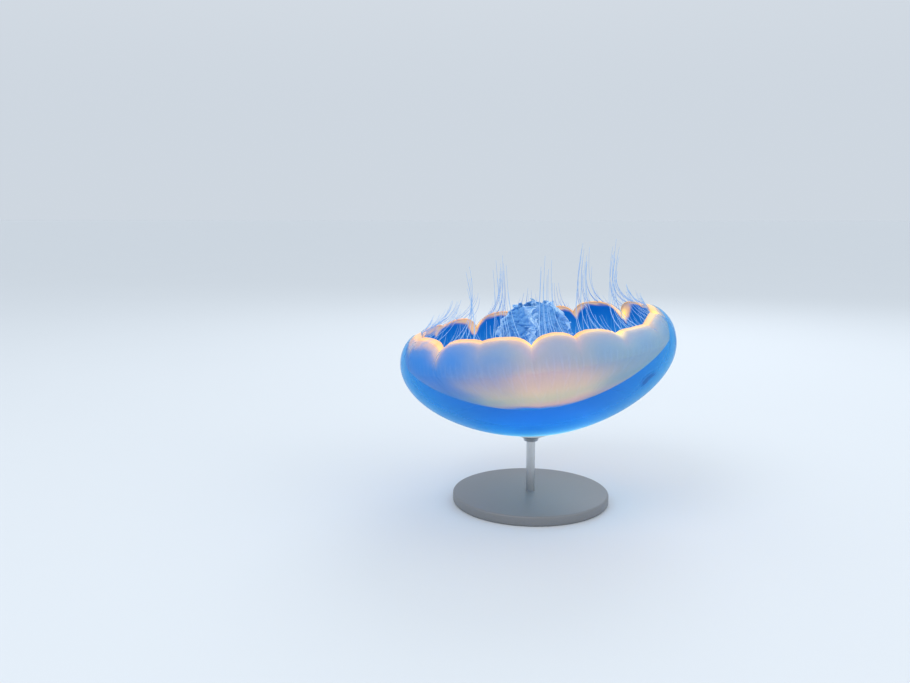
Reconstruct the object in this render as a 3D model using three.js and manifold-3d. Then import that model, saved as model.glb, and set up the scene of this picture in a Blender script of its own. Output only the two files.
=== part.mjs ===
// A moon jellyfish, life size, swimming head down: the bell hangs below like a bowl, its scalloped
// margin and the frilled oral arms point up, and the fine marginal tentacles stream upwards.
// A flat disc and one rod with a small cradle carry the bell from below.
// Millimetres, +Z up, origin at the middle of the stand's underside. The front faces -Y.
import * as THREE from "three";
import { mergeVertices } from "three/addons/utils/BufferGeometryUtils.js";
import Module from "manifold-3d";

// Bell: the dome from its apex to its widest level, then the lobes that arch in over the hollow.
const BELL_RADIUS = 125;
const DOME_DEPTH = 75.6;
const DOME_ROUNDNESS_ACROSS = 1.7;
const DOME_ROUNDNESS_DOWN = 1.86;
const LOBE_REACH = 26;
const LOBE_RISE = 31;
const LOBE_END = 85; // degrees of the lobe's arch, from upright at the widest level
const BELL_TILT = 7.6; // degrees, how far the bell's axis leans to -X

// Thickness of the outer jelly, of the lining under it and of the lobes.
const JELLY_AT_APEX = 23;
const JELLY_AT_WIDEST = 6;
const LINING_AT_APEX = 2.6;
const LINING_AT_WIDEST = 1.8;
const GAP = 0.3;
const MARGIN_THICKNESS = 2.2;

// Notches between the lobes, round from the front: at which angle, and how far the edge drops there.
const DEEP_NOTCHES = [
  { at: -1, drop: 9 },
  { at: 38, drop: 4 },
  { at: 82, drop: 8 },
  { at: 129, drop: 18 },
  { at: 172, drop: 9 },
  { at: 213, drop: 14 },
  { at: 262, drop: 9 },
  { at: 315, drop: 9 },
];
const SHALLOW_NOTCHES = [
  { at: 17.5, drop: 5.5 },
  { at: 59, drop: 2 },
  { at: 104, drop: 4 },
  { at: 158, drop: 10 },
  { at: 193, drop: 3 },
  { at: 238, drop: 4 },
  { at: 288, drop: 4 },
  { at: 337.3, drop: 2.5 },
];
const NOTCH_WIDTH = 3.6; // degrees in which a notch loses most of its depth
const NOTCH_OPENS = 0.45; // how far the edge stands back in a notch, per millimetre of drop
const EDGE_DIP = { at: 52, width: 24, drop: 9 }; // one side of the margin hangs a little lower

// Sense organs in the deep notches.
const SENSE_ORGAN_SIZE = [1.2, 1.2, 2];
const SENSE_ORGAN_STANDOFF = 1.6;

// Tentacles.
const TENTACLES_PER_LOBE = 4;
const TENTACLE_ROOT_RADIUS = 0.8;
const TENTACLE_TIP_RADIUS = 0.38;
const TENTACLE_SIDES = 3;
const TENTACLE_STEPS = 5;
const TENTACLE_LENGTHS = [54, 61, 50, 58, 47];
// The share of its length that each lobe's tentacles are stretched to: some hold theirs drawn in.
const STRETCH = [1, 1, 1, 0.42, 0.38, 1, 1, 0.45, 0.36, 1, 0.42, 0.4, 0.45, 0.38, 1, 1];
const TENTACLE_LEAN = 24; // how far they turn in over the hollow before they rise
const TENTACLE_SPREAD = 7; // and how far their tips stand out again
const TENTACLE_DRIFT = { at: -22, width: 22, push: -14 }; // the water moves some of them aside

// Mouth, oral arms and gonads, in the bell's own frame.
const MOUTH_HEIGHT = 16;
const MOUTH_RADIUS = 13;
const ARMS = 4;
const FIRST_ARM = 42;
const ARM_RISE = 79;
const ARM_RING = 9; // the arms' distance from the axis at the mouth and at their tips
const ARM_BULGE = 27; // and where they stand farthest out
const ARM_THICKNESS = 1.8;
const ARM_HALF_WIDTH = 0.64; // this and the next two as shares of the distance from the axis
const ARM_FOLD = 0.14;
const ARM_FRILL = 0.1;
const ARM_LEAN = 6;
const GONAD_RING = 58;
const GONAD_BEND = 15;
const GONAD_RADIUS = 4.2;
const GONAD_SUNK = 2;

// Stand.
const BASE_RADIUS = 72;
const BASE_THICKNESS = 9;
const ROD_RADIUS = 4;
const BELL_HEIGHT = 66; // the apex above the floor
const CRADLE_RADIUS = 15;
const CRADLE_DEPTH = 9;

// Mesh fineness.
const BELL_SEGMENTS = 40;
const LOBE_COLUMNS = 6;

const wasm = await Module();
wasm.setup();

const { degToRad, radToDeg, lerp } = THREE.MathUtils;

const MATERIALS = {
  jelly: new THREE.MeshStandardMaterial({ color: 0x3d8fe3, roughness: 0.25, metalness: 0 }),
  lining: new THREE.MeshStandardMaterial({ color: 0xc9bfae, roughness: 0.5, metalness: 0 }),
  margin: new THREE.MeshStandardMaterial({ color: 0xf5c8a0, roughness: 0.45, metalness: 0 }),
  organ: new THREE.MeshStandardMaterial({ color: 0xf3dd9a, roughness: 0.5, metalness: 0 }),
  arm: new THREE.MeshStandardMaterial({ color: 0x8fc0f0, roughness: 0.4, metalness: 0 }),
  gonad: new THREE.MeshStandardMaterial({ color: 0xe3b49c, roughness: 0.5, metalness: 0 }),
  base: new THREE.MeshStandardMaterial({ color: 0x767b81, roughness: 0.5, metalness: 0.2 }),
  rod: new THREE.MeshStandardMaterial({ color: 0xb9bcc0, roughness: 0.35, metalness: 0.9 }),
};

// ---- Solids -----------------------------------------------------------------------------------

function solidOf(geometry) {
  const bare = new THREE.BufferGeometry();
  bare.setAttribute("position", geometry.getAttribute("position"));
  bare.setIndex(geometry.index);
  const merged = mergeVertices(bare, 1e-4);
  return new wasm.Manifold(
    new wasm.Mesh({
      numProp: 3,
      vertProperties: merged.attributes.position.array,
      triVerts: new Uint32Array(merged.index.array),
    }),
  );
}

function geometryOf(solid) {
  const mesh = solid.getMesh();
  const geometry = new THREE.BufferGeometry();
  geometry.setAttribute("position", new THREE.BufferAttribute(mesh.vertProperties, 3));
  geometry.setIndex(new THREE.BufferAttribute(mesh.triVerts, 1));
  geometry.computeVertexNormals();
  return geometry;
}

// Moves each vertex of a geometry by the function it is given.
function warp(geometry, move) {
  const position = geometry.getAttribute("position");
  const point = new THREE.Vector3();
  for (let i = 0; i < position.count; i += 1) {
    move(point.fromBufferAttribute(position, i));
    position.setXYZ(i, point.x, point.y, point.z);
  }
  return geometry;
}

// ---- Shape of the bell ------------------------------------------------------------------------

// Ways along the outer skin: from the apex to the widest level, and on over a lobe to its edge.
const DOME_LENGTH = 157;
const LOBE_LENGTH = 41;
const EDGE = DOME_LENGTH + LOBE_LENGTH;

const NOTCHES = DEEP_NOTCHES.flatMap((notch, i) => [notch, SHALLOW_NOTCHES[i]]);
const LOBES = NOTCHES.length;

// Degrees from one angle to another, between -180 and 180.
function between(from, to) {
  return THREE.MathUtils.euclideanModulo(to - from + 180, 360) - 180;
}

function notchAngle(number) {
  return NOTCHES[number % LOBES].at + 360 * Math.floor(number / LOBES);
}

// How far the margin's edge hangs below its highest crests.
function edgeDrop(angle) {
  const dip = EDGE_DIP.drop * Math.exp(-((between(EDGE_DIP.at, angle) / EDGE_DIP.width) ** 2));
  return NOTCHES.reduce(
    (sum, notch) => sum + notch.drop * Math.exp(-Math.abs(between(notch.at, angle)) / NOTCH_WIDTH),
    dip,
  );
}

// Radius and height of the outer skin at a way s from the apex.
function meridian(s, angle) {
  if (s <= DOME_LENGTH) {
    const turn = (s / DOME_LENGTH) * (Math.PI / 2);
    return [
      BELL_RADIUS * Math.sin(turn) ** (2 / DOME_ROUNDNESS_ACROSS),
      DOME_DEPTH * (1 - Math.max(0, Math.cos(turn)) ** (2 / DOME_ROUNDNESS_DOWN)),
    ];
  }
  const turn = degToRad((LOBE_END * (s - DOME_LENGTH)) / LOBE_LENGTH);
  const drop = edgeDrop(angle);
  return [
    BELL_RADIUS - (LOBE_REACH - NOTCH_OPENS * drop) * (1 - Math.cos(turn)),
    DOME_DEPTH + (LOBE_RISE - drop) * Math.sin(turn),
  ];
}

// The point at a way s from the apex, at an angle round from the front, so deep under the skin.
function bellPoint(s, angle, depth) {
  if (s < 1e-6) return new THREE.Vector3(0, 0, depth);
  const [r, z] = meridian(s, angle);
  const [r0, z0] = meridian(s - 0.5, angle);
  const [r1, z1] = meridian(s + 0.5, angle);
  const length = Math.hypot(r1 - r0, z1 - z0);
  const radius = r - (depth * (z1 - z0)) / length;
  const turn = degToRad(angle);
  return new THREE.Vector3(
    radius * Math.sin(turn),
    -radius * Math.cos(turn),
    z + (depth * (r1 - r0)) / length,
  );
}

// The jelly stays thick far out, and thins quickly towards the widest level.
function jellyThickness(s) {
  return lerp(JELLY_AT_APEX, JELLY_AT_WIDEST, (s / DOME_LENGTH) ** 3);
}

// The floor of the bell's hollow: the lining's inner face.
function floorDepth(s) {
  return jellyThickness(s) + GAP + lerp(LINING_AT_APEX, LINING_AT_WIDEST, s / DOME_LENGTH);
}

// A disc or ring turned round the axis, from pairs of distance and height.
function turned(profile, segments) {
  const points = profile.map(([distance, height]) => new THREE.Vector2(distance, height));
  return new THREE.LatheGeometry(points, segments).rotateX(Math.PI / 2);
}

function distanceAndAngle(point) {
  return [Math.hypot(point.x, point.y), radToDeg(Math.atan2(point.x, -point.y))];
}

// Takes a flat disc, its distances ways along the skin and its heights depths, into the bell's shape.
function bend(geometry) {
  return warp(geometry, (point) => {
    const [s, angle] = distanceAndAngle(point);
    point.copy(bellPoint(s, angle, point.z));
  });
}

// ---- Bell and lining --------------------------------------------------------------------------

const OUTER_ROWS = [13, 31, 52, 75, 98, 119, 136, 148];
const INNER_ROWS = [24, 62, 98, 130];

function bellJelly() {
  const outer = [0, ...OUTER_ROWS, DOME_LENGTH].map((s) => [s, 0]);
  const inner = [DOME_LENGTH, ...INNER_ROWS.toReversed(), 0].map((s) => [s, jellyThickness(s)]);
  return bend(turned([...outer, ...inner], BELL_SEGMENTS));
}

function bellLining() {
  const outer = [0, ...INNER_ROWS, DOME_LENGTH].map((s) => [s, jellyThickness(s) + GAP]);
  const inner = [DOME_LENGTH, ...INNER_ROWS.toReversed(), 0].map((s) => [s, floorDepth(s)]);
  return bend(turned([...outer, ...inner], BELL_SEGMENTS));
}

// ---- Margin lobes, sense organs and tentacles ---------------------------------------------------

// The whole scalloped margin as one ring, with the same number of columns in each lobe.
function marginRing() {
  const outer = [0, 0.22, 0.45, 0.7, 1].map((share) => [lerp(DOME_LENGTH, EDGE, share), 0]);
  const inner = [1, 0.5, 0].map((share) => [
    lerp(DOME_LENGTH, EDGE, share),
    lerp(floorDepth(DOME_LENGTH), MARGIN_THICKNESS, share),
  ]);
  const ring = turned([...outer, ...inner, outer[0]], LOBES * LOBE_COLUMNS);
  return warp(ring, (point) => {
    const [s, even] = distanceAndAngle(point);
    const column = (THREE.MathUtils.euclideanModulo(even, 360) / 360) * LOBES;
    const lobe = Math.floor(column + 1e-6);
    const angle = lerp(notchAngle(lobe), notchAngle(lobe + 1), column - lobe);
    point.copy(bellPoint(s, angle, point.z));
    point.z += GAP;
  });
}

// A tall wedge over one lobe, a thin cut clear of its neighbours.
function lobeWedge(lobe) {
  const half = degToRad((notchAngle(lobe + 1) - notchAngle(lobe)) / 2);
  const tip = GAP / 2 / Math.sin(half);
  const reach = 2 * BELL_RADIUS;
  const shape = new THREE.Shape([
    new THREE.Vector2(0, -tip),
    new THREE.Vector2(-reach * Math.sin(half), -tip - reach * Math.cos(half)),
    new THREE.Vector2(reach * Math.sin(half), -tip - reach * Math.cos(half)),
  ]);
  const middle = (notchAngle(lobe) + notchAngle(lobe + 1)) / 2;
  const wedge = new THREE.ExtrudeGeometry(shape, { depth: 2 * BELL_RADIUS, bevelEnabled: false });
  return wedge.rotateZ(degToRad(middle));
}

// A grain that stands in a notch, just clear of its edges.
function senseOrgan({ at }) {
  const place = bellPoint(EDGE, at, MARGIN_THICKNESS / 2);
  const [width, depth, height] = SENSE_ORGAN_SIZE;
  return new THREE.SphereGeometry(1, 6, 4)
    .rotateX(Math.PI / 2)
    .scale(width, depth, height)
    .translate(0, SENSE_ORGAN_STANDOFF, 0)
    .rotateZ(degToRad(at))
    .translate(place.x, place.y, place.z + height);
}

// Upwards, as the tilted bell sees it.
const UP = new THREE.Vector3(0, 0, 1).applyAxisAngle(
  new THREE.Vector3(0, 1, 0),
  degToRad(BELL_TILT),
);

// A tentacle leaves the edge inwards, turns up and is gathered towards the middle of its lobe.
function tentacleCurve(lobe, strand) {
  const [from, to] = [notchAngle(lobe), notchAngle(lobe + 1)];
  const middle = (from + to) / 2;
  const angle = lerp(from, to, 0.12 + (0.76 * (strand + 0.5)) / TENTACLES_PER_LOBE);
  const root = bellPoint(EDGE - 2, angle, MARGIN_THICKNESS / 2);
  const aside = bellPoint(EDGE, middle, 0).sub(bellPoint(EDGE, angle, 0)).setZ(0);
  const inwards = new THREE.Vector3(-Math.sin(degToRad(angle)), Math.cos(degToRad(angle)), 0);
  const lean = TENTACLE_LEAN * (1 + 0.5 * Math.max(0, -Math.sin(degToRad(angle))));
  const length = STRETCH[lobe] * TENTACLE_LENGTHS[(3 * lobe + strand) % TENTACLE_LENGTHS.length];
  const { at, width, push } = TENTACLE_DRIFT;
  const drift = push * Math.exp(-((between(at, angle) / width) ** 2));
  const points = [];
  for (let i = 0; i <= TENTACLE_STEPS; i += 1) {
    const rise = length * (i / TENTACLE_STEPS) ** 1.4;
    const sway = 0.03 * rise * Math.sin(rise / 19 + 1.7 * lobe + strand);
    const tip = (rise / length) ** 2;
    points.push(
      root
        .clone()
        .addScaledVector(UP, rise)
        .addScaledVector(inwards, lean * (1 - Math.exp(-rise / 13)) - TENTACLE_SPREAD * tip + sway)
        .addScaledVector(aside, 0.6 * (1 - Math.exp(-rise / 24)))
        .add(new THREE.Vector3(drift * (1 - Math.exp(-rise / 16)), 0, 0)),
    );
  }
  return new THREE.CatmullRomCurve3(points);
}

// A thin cone bent along a curve.
function taperedTube(curve) {
  const frames = curve.computeFrenetFrames(TENTACLE_STEPS);
  const straight = new THREE.CylinderGeometry(1, 1, 1, TENTACLE_SIDES, TENTACLE_STEPS);
  return warp(straight, (point) => {
    const share = point.y + 0.5;
    const step = Math.round(share * TENTACLE_STEPS);
    const radius = lerp(TENTACLE_ROOT_RADIUS, TENTACLE_TIP_RADIUS, share);
    const [aside, ahead] = [point.x * radius, point.z * radius];
    point
      .copy(curve.getPoint(share))
      .addScaledVector(frames.binormals[step], aside)
      .addScaledVector(frames.normals[step], ahead);
  });
}

function marginLobe(ring, lobe) {
  let solid = ring.intersect(solidOf(lobeWedge(lobe)));
  for (let strand = 0; strand < TENTACLES_PER_LOBE; strand += 1) {
    solid = solid.add(solidOf(taperedTube(tentacleCurve(lobe, strand))));
  }
  return geometryOf(solid);
}

// ---- Mouth, oral arms and gonads --------------------------------------------------------------

// All that lies under the floor of the hollow, and the gap over it.
function underFloor() {
  const ways = [0, ...INNER_ROWS];
  const top = ways.toReversed().map((s) => [s, floorDepth(s) + GAP]);
  return bend(turned([...ways.map((s) => [s, 0]), ...top], BELL_SEGMENTS));
}

const FLOOR_HEIGHT = floorDepth(0);
const MOUTH_TOP = FLOOR_HEIGHT + MOUTH_HEIGHT;

// A short stalk with a corner under each arm.
function mouth(floor) {
  const profile = [
    [0, FLOOR_HEIGHT - 3],
    [MOUTH_RADIUS * 1.35, FLOOR_HEIGHT - 1.5],
    [MOUTH_RADIUS * 1.25, FLOOR_HEIGHT + 3],
    [MOUTH_RADIUS * 0.9, FLOOR_HEIGHT + 8],
    [MOUTH_RADIUS, MOUTH_TOP],
    [0, MOUTH_TOP],
  ];
  const stalk = warp(turned(profile, 16), (point) => {
    const corner = 1 + 0.14 * Math.cos(ARMS * degToRad(distanceAndAngle(point)[1] - FIRST_ARM));
    point.set(point.x * corner, point.y * corner, point.z);
  });
  return geometryOf(solidOf(stalk).subtract(floor));
}

// An arm is a folded, frilled leaf: share runs up it, across runs from -1 to 1 over its width.
function armPoint(number, share, across, depth) {
  const swell = Math.sin(Math.PI * share ** 1.25);
  const keel = lerp(ARM_RING, ARM_BULGE, swell);
  const frill = ARM_FRILL * Math.abs(across) ** 1.4 * Math.sin(17 * share + 1.9 * number + across);
  const local = new THREE.Vector3(
    across * ARM_HALF_WIDTH * keel,
    -keel * (1 - ARM_FOLD * Math.abs(across) + frill) + depth,
    MOUTH_TOP + GAP + ARM_RISE * share,
  );
  local.applyAxisAngle(new THREE.Vector3(0, 0, 1), degToRad(FIRST_ARM + (360 / ARMS) * number));
  local.x += ARM_LEAN * share ** 2;
  return local;
}

function oralArm(number, from, to) {
  const leaf = new THREE.BoxGeometry(2, ARM_THICKNESS, 1, 5, 1, 5);
  return warp(leaf, (point) => {
    point.copy(armPoint(number, lerp(from, to, point.z + 0.5), point.x, point.y));
  });
}

// A horseshoe on the floor of the hollow, open towards the mouth.
function gonad(number, floor) {
  const arc = degToRad(118);
  const bow = new THREE.EllipseCurve(0, 0, GONAD_BEND, GONAD_BEND, -arc, arc).getPoints(9);
  const path = new THREE.CatmullRomCurve3(bow.map(({ x, y }) => new THREE.Vector3(y, -x, 0)));
  const section = new THREE.Shape().absellipse(0, 0, GONAD_RADIUS, GONAD_RADIUS, 0, 2 * Math.PI);
  const tube = new THREE.ExtrudeGeometry(section, {
    steps: 9,
    curveSegments: 3,
    bevelEnabled: false,
    extrudePath: path,
  });
  const angle = FIRST_ARM + (360 / ARMS) * (number + 0.5);
  tube.translate(0, -GONAD_RING, GONAD_RADIUS).rotateZ(degToRad(angle));
  warp(tube, (point) => {
    const [s, round] = distanceAndAngle(point);
    point.copy(bellPoint(s, round, floorDepth(s) + point.z - GONAD_SUNK));
  });
  return geometryOf(solidOf(tube).subtract(floor));
}

// ---- Stand --------------------------------------------------------------------------------------

function standBase() {
  const chamfer = 1.5;
  const profile = [
    [0, 0],
    [BASE_RADIUS - chamfer, 0],
    [BASE_RADIUS, chamfer],
    [BASE_RADIUS, BASE_THICKNESS - chamfer],
    [BASE_RADIUS - chamfer, BASE_THICKNESS],
    [0, BASE_THICKNESS],
  ];
  return turned(profile, 40);
}

const CRADLE_BOTTOM = BELL_HEIGHT - CRADLE_DEPTH;

function standRod() {
  const length = CRADLE_BOTTOM - BASE_THICKNESS - 2 * GAP;
  return new THREE.CylinderGeometry(ROD_RADIUS, ROD_RADIUS, length, 20)
    .rotateX(Math.PI / 2)
    .translate(0, 0, BASE_THICKNESS + GAP + length / 2);
}

// A shallow dish under the bell, hollowed to the bell's own shape.
function standCradle(bellMatrix) {
  const profile = [
    [0, CRADLE_BOTTOM],
    [ROD_RADIUS + 2.5, CRADLE_BOTTOM],
    [ROD_RADIUS + 3.5, CRADLE_BOTTOM + 3],
    [CRADLE_RADIUS, BELL_HEIGHT - 3],
    [CRADLE_RADIUS, BELL_HEIGHT + 3],
    [0, BELL_HEIGHT + 3],
  ];
  const ways = [0, ...OUTER_ROWS.slice(0, 3)];
  const under = [...ways.map((s) => [s, -GAP]), ...ways.toReversed().map((s) => [s, 20])];
  const bell = bend(turned(under, BELL_SEGMENTS)).applyMatrix4(bellMatrix);
  return geometryOf(solidOf(turned(profile, 20)).subtract(solidOf(bell)));
}

// ---- The part -------------------------------------------------------------------------------------

const part = new THREE.Group();
const animal = new THREE.Group();
const rimHeight = DOME_DEPTH + LOBE_RISE;
animal.position.set(rimHeight * Math.sin(degToRad(BELL_TILT)), 0, BELL_HEIGHT);
animal.rotation.y = -degToRad(BELL_TILT);
animal.updateMatrix();
part.add(animal);

function add(group, name, geometry, material) {
  const mesh = new THREE.Mesh(geometry, material);
  mesh.name = name;
  group.add(mesh);
}

add(animal, "bell_jelly", bellJelly(), MATERIALS.jelly);
add(animal, "bell_lining", bellLining(), MATERIALS.lining);

const ring = solidOf(marginRing());
for (let lobe = 0; lobe < LOBES; lobe += 1) {
  const number = String(lobe + 1).padStart(2, "0");
  add(animal, `margin_lobe_${number}`, marginLobe(ring, lobe), MATERIALS.margin);
}
for (let number = 0; number < DEEP_NOTCHES.length; number += 1) {
  add(animal, `sense_organ_${number + 1}`, senseOrgan(DEEP_NOTCHES[number]), MATERIALS.organ);
}

const floor = solidOf(underFloor());
add(animal, "mouth", mouth(floor), MATERIALS.arm);
for (let number = 0; number < ARMS; number += 1) {
  const half = GAP / 2 / ARM_RISE;
  add(animal, `oral_arm_${number + 1}_lower`, oralArm(number, 0, 0.5 - half), MATERIALS.arm);
  add(animal, `oral_arm_${number + 1}_upper`, oralArm(number, 0.5 + half, 1), MATERIALS.arm);
  add(animal, `gonad_${number + 1}`, gonad(number, floor), MATERIALS.gonad);
}

add(part, "stand_base", standBase(), MATERIALS.base);
add(part, "stand_rod", standRod(), MATERIALS.rod);
add(part, "stand_cradle", standCradle(animal.matrix), MATERIALS.rod);

export default part;
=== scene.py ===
"""Moon jellyfish on its display stand.

The clear bell, its milky lining and bright margin, tentacles, mouth, oral arms and gonads.
"""

import math

import bpy
import numpy as np
from bpy.props import FloatProperty, FloatVectorProperty, IntProperty, PointerProperty
from mathutils import Matrix, Vector


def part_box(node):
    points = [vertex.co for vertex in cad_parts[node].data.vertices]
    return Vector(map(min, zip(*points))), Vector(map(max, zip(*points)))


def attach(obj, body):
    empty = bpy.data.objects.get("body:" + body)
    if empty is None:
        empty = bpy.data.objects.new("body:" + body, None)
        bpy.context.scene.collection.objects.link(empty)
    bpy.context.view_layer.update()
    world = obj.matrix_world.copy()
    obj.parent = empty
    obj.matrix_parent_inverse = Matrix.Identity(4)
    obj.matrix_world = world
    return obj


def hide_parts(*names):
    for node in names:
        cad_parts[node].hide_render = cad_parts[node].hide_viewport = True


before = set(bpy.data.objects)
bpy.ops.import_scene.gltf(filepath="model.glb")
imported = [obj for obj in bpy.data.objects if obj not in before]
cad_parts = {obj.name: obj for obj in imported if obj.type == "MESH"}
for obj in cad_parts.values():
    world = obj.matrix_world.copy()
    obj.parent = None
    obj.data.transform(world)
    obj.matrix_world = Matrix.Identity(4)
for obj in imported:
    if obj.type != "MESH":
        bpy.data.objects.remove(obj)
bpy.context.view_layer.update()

bl_info = {
    "name": "Moon jellyfish",
    "version": (1, 0, 0),
    "blender": (4, 5, 0),
    "location": "View3D > Sidebar > Jellyfish",
    "description": "Builds a moon jellyfish on its display stand",
    "category": "Object",
}

MM = 0.001
BODY = "root"
LOBES = [f"margin_lobe_{number:02d}" for number in range(1, 17)]
SENSE_ORGANS = [f"sense_organ_{number}" for number in range(1, 9)]
ARMS = 4
GONADS = 4

# ---- Sizes of the bell, in millimetres and degrees ----------------------------------------------------
# In its own frame, the apex is at the origin and the axis points up. A "way" is a length along the skin
# from the apex. Angles go round the axis from the front.

BELL_RADIUS = 125.0
DOME_DEPTH = 75.6
DOME_ROUNDNESS_ACROSS = 1.7
DOME_ROUNDNESS_DOWN = 1.86
LOBE_REACH = 26.0
LOBE_RISE = 31.0
LOBE_END = 85.0
DOME_LENGTH = 157.0
LOBE_LENGTH = 41.0
EDGE = DOME_LENGTH + LOBE_LENGTH
# The dome runs over into the lobes softly, within a few times this way.
JOINT = 3.0

JELLY_AT_APEX = 23.0
JELLY_AT_WIDEST = 6.0
JELLY_END = EDGE - 7
LINING_AT_APEX = 2.4
LINING_AT_EDGE = 1.3
LINING_GAP = 0.3

# Notches, by angle round from the front, and how far the edge drops in each.
NOTCHES = [
    (-1, 9),
    (17.5, 5.5),
    (38, 4),
    (59, 2),
    (82, 8),
    (104, 4),
    (129, 18),
    (158, 10),
    (172, 9),
    (193, 3),
    (213, 14),
    (238, 4),
    (262, 9),
    (288, 4),
    (315, 9),
    (337.3, 2.5),
]
LOBE_COUNT = len(NOTCHES)
NOTCH_ANGLES = np.array([at for at, _ in NOTCHES] + [NOTCHES[0][0] + 360.0])
# Every second notch holds a sense organ.
SENSE_NOTCHES = [at for at, _ in NOTCHES[::2]]
# A notch that drops this far is marked in full.
FULL_NOTCH = 9
NOTCH_WIDTH = 3.6
NOTCH_OPENS = 0.45
# Round this angle the whole edge dips.
DIP_AT, DIP_WIDTH, DIP_DROP = 52, 24, 9
# Under a notch the wall is drawn in by this share of its radius, between these ways.
FURROW = 0.022
FURROW_STARTS, FURROW_FULL, FURROW_FADES = 112, 150, 172

# A small crescent-shaped dent low on the bell's side.
DENT_ANGLE, DENT_WAY = 98.0, 97.0

# The bell leans, and the middle of its rim is over the origin.
TILT = math.radians(7.6)
APEX_HEIGHT = 66.0
RIM_HEIGHT = DOME_DEPTH + LOBE_RISE
APEX = Vector((RIM_HEIGHT * math.sin(TILT), 0, APEX_HEIGHT)) * MM
BELL = Matrix.Translation(APEX) @ Matrix.Rotation(-TILT, 4, "Y")


def smooth(value, start, end):
    """0 before start, 1 after end, and smooth between."""
    share = np.clip((np.asarray(value, float) - start) / (end - start), 0, 1)
    return share * share * (3 - 2 * share)


def between(angle_from, angle_to):
    """Degrees from one angle to another, between -180 and 180."""
    return (angle_to - angle_from + 180) % 360 - 180


def notch_drop(angle):
    """How far the notches lower the edge."""
    return sum(drop * np.exp(-np.abs(between(at, angle)) / NOTCH_WIDTH) for at, drop in NOTCHES)


def edge_drop(angle):
    """How far the notches and the dip lower the edge."""
    return notch_drop(angle) + DIP_DROP * np.exp(-((between(DIP_AT, angle) / DIP_WIDTH) ** 2))


def meridian(s, angle):
    """Radius and height of the outer skin at a way s from the apex."""
    past = np.minimum(JOINT * np.logaddexp(0, (s - DOME_LENGTH) / JOINT), s)
    dome = (s - past) / DOME_LENGTH * math.pi / 2
    lobe = np.radians(LOBE_END * past / LOBE_LENGTH)
    drop = edge_drop(angle)
    radius = BELL_RADIUS * np.sin(dome) ** (2 / DOME_ROUNDNESS_ACROSS)
    height = DOME_DEPTH * (1 - np.clip(np.cos(dome), 0, 1) ** (2 / DOME_ROUNDNESS_DOWN))
    radius = radius - (LOBE_REACH - NOTCH_OPENS * drop) * (1 - np.cos(lobe))
    height = height + (LOBE_RISE - drop) * np.sin(lobe)
    furrow = FURROW * np.clip(notch_drop(angle) / FULL_NOTCH, 0, 1.4)
    furrow = furrow * smooth(s, FURROW_STARTS, FURROW_FULL) * (1 - smooth(s, FURROW_FADES, EDGE))
    return radius * (1 - furrow), height


def bell_points(s, angle, depth):
    """Points so deep under the outer skin, at ways s from the apex and angles round from the front."""
    s, angle, depth = np.broadcast_arrays(*(np.asarray(v, float) for v in (s, angle, depth)))
    r, z = meridian(s, angle)
    r0, z0 = meridian(np.clip(s - 0.5, 0, None), angle)
    r1, z1 = meridian(s + 0.5, angle)
    length = np.hypot(r1 - r0, z1 - z0)
    across, along = (z1 - z0) / length, (r1 - r0) / length
    at_apex = s < 0.6
    radius = np.where(at_apex, r, r - depth * across)
    height = np.where(at_apex, z + depth, z + depth * along)
    turn = np.radians(angle)
    return np.stack([radius * np.sin(turn), -radius * np.cos(turn), height], -1)


def jelly_thickness(s):
    dome = JELLY_AT_APEX + (JELLY_AT_WIDEST - JELLY_AT_APEX) * np.clip(s / DOME_LENGTH, 0, 1) ** 3
    return dome + (0.35 - JELLY_AT_WIDEST) * smooth(s, DOME_LENGTH - 6, JELLY_END)


def lining_thickness(s):
    return LINING_AT_APEX + (LINING_AT_EDGE - LINING_AT_APEX) * np.clip(s / EDGE, 0, 1)


def min_by_size(choices):
    """Of several arrays, the value nearest nought at each place."""
    choices = np.array(choices)
    return np.take_along_axis(choices, np.abs(choices).argmin(0)[None], 0)[0]


def lobe_middle(angle):
    """1 in the middle of each lobe and 0 at its notches."""
    start = NOTCH_ANGLES[0]
    turned = (np.asarray(angle, float) - start) % 360 + start
    lobe = np.clip(np.searchsorted(NOTCH_ANGLES, turned, side="right") - 1, 0, LOBE_COUNT - 1)
    share = (turned - NOTCH_ANGLES[lobe]) / (NOTCH_ANGLES[lobe + 1] - NOTCH_ANGLES[lobe])
    return np.sin(math.pi * np.clip(share, 0, 1)) ** 2


def even_to_angle(even):
    """Spreads columns so that each lobe has the same number, closer together by the notches."""
    column = (even % 360) / 360 * LOBE_COUNT
    lobe = np.minimum(np.floor(column + 1e-6).astype(int), LOBE_COUNT - 1)
    share = column - lobe
    share = share - 0.55 * np.sin(2 * math.pi * share) / (2 * math.pi)
    return NOTCH_ANGLES[lobe] + (NOTCH_ANGLES[lobe + 1] - NOTCH_ANGLES[lobe]) * share


# ---- Shaping ------------------------------------------------------------------------------------------


def deselect():
    if bpy.context.object and bpy.context.object.mode != "OBJECT":
        bpy.ops.object.mode_set(mode="OBJECT")
    bpy.ops.object.select_all(action="DESELECT")


def new_piece(name):
    """Names the primitive that was just added."""
    piece = bpy.context.object
    piece.name = piece.data.name = name
    return piece


def vertices_of(piece):
    places = np.empty(len(piece.data.vertices) * 3)
    piece.data.vertices.foreach_get("co", places)
    return places.reshape(-1, 3)


def set_vertices(piece, places):
    piece.data.vertices.foreach_set("co", np.ascontiguousarray(places, float).ravel())
    piece.data.update()


def in_model(points):
    """Bell-frame millimetres to model metres."""
    return np.asarray(points) * MM @ np.array(BELL.to_3x3()).T + np.array(BELL.translation)


def note(piece, name, values):
    """Keeps a number for each vertex, which the material reads."""
    layer = piece.data.attributes.new(name, "FLOAT", "POINT")
    layer.data.foreach_set("value", np.ascontiguousarray(values, dtype=np.float32))


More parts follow.
